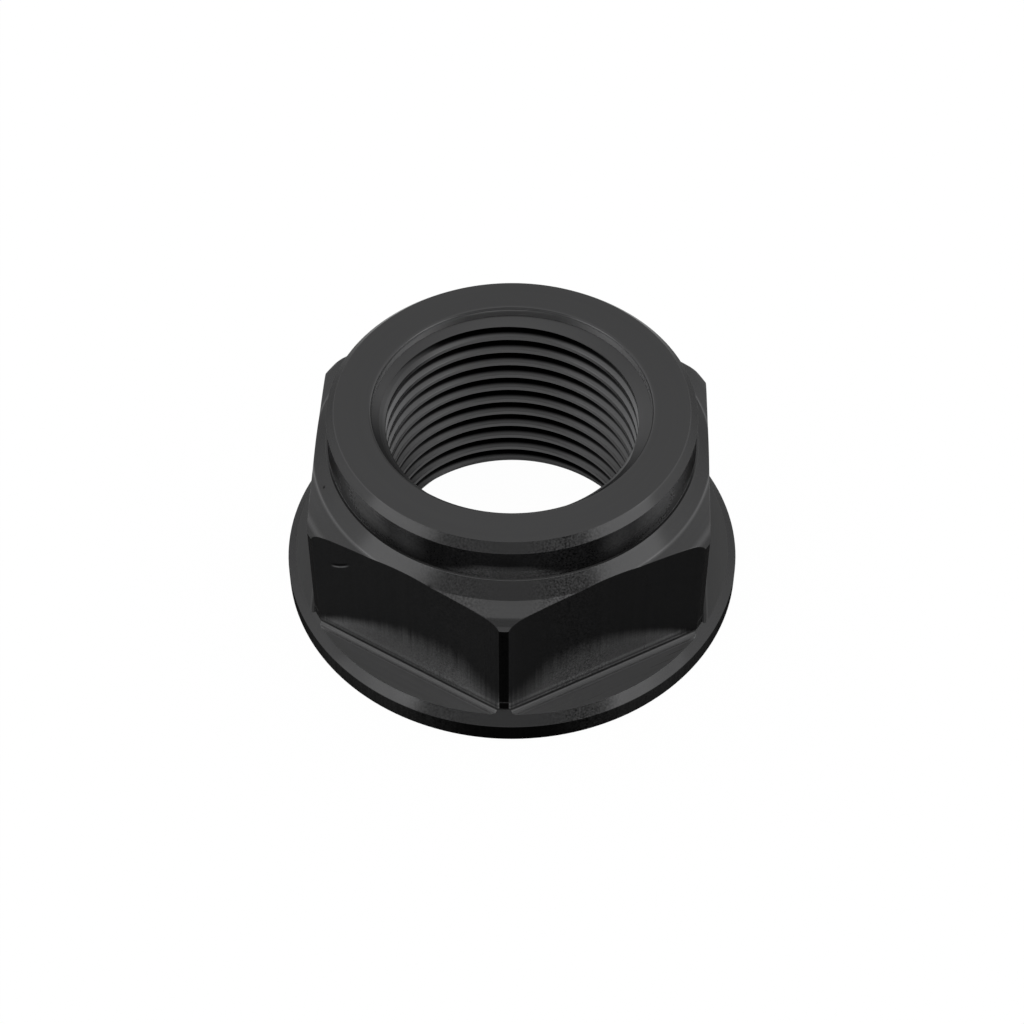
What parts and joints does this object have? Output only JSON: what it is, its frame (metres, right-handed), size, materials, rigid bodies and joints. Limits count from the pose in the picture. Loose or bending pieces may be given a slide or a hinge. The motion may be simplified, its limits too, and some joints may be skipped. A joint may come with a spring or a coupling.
{
  "type": "flanged hexagon nut",
  "caption": "Black anodised aluminium hexagon nut with a wide bevelled flange, a round collar above the flats and a fine internal thread.",
  "frame": {"origin": "centre of the flange's seat face, on the thread's axis", "axes": "+Z along the thread's axis, from the seat face towards the collar; a hexagon corner lies on -Y, so +X and -X are normal to two flats"},
  "size_m": [0.0382, 0.0382, 0.0189],
  "materials": {
    "anodised_aluminium": "satin black anodised, turned and milled"
  },
  "bodies": {
    "root": {"nut": "anodised_aluminium"}
  },
  "joints": []
}
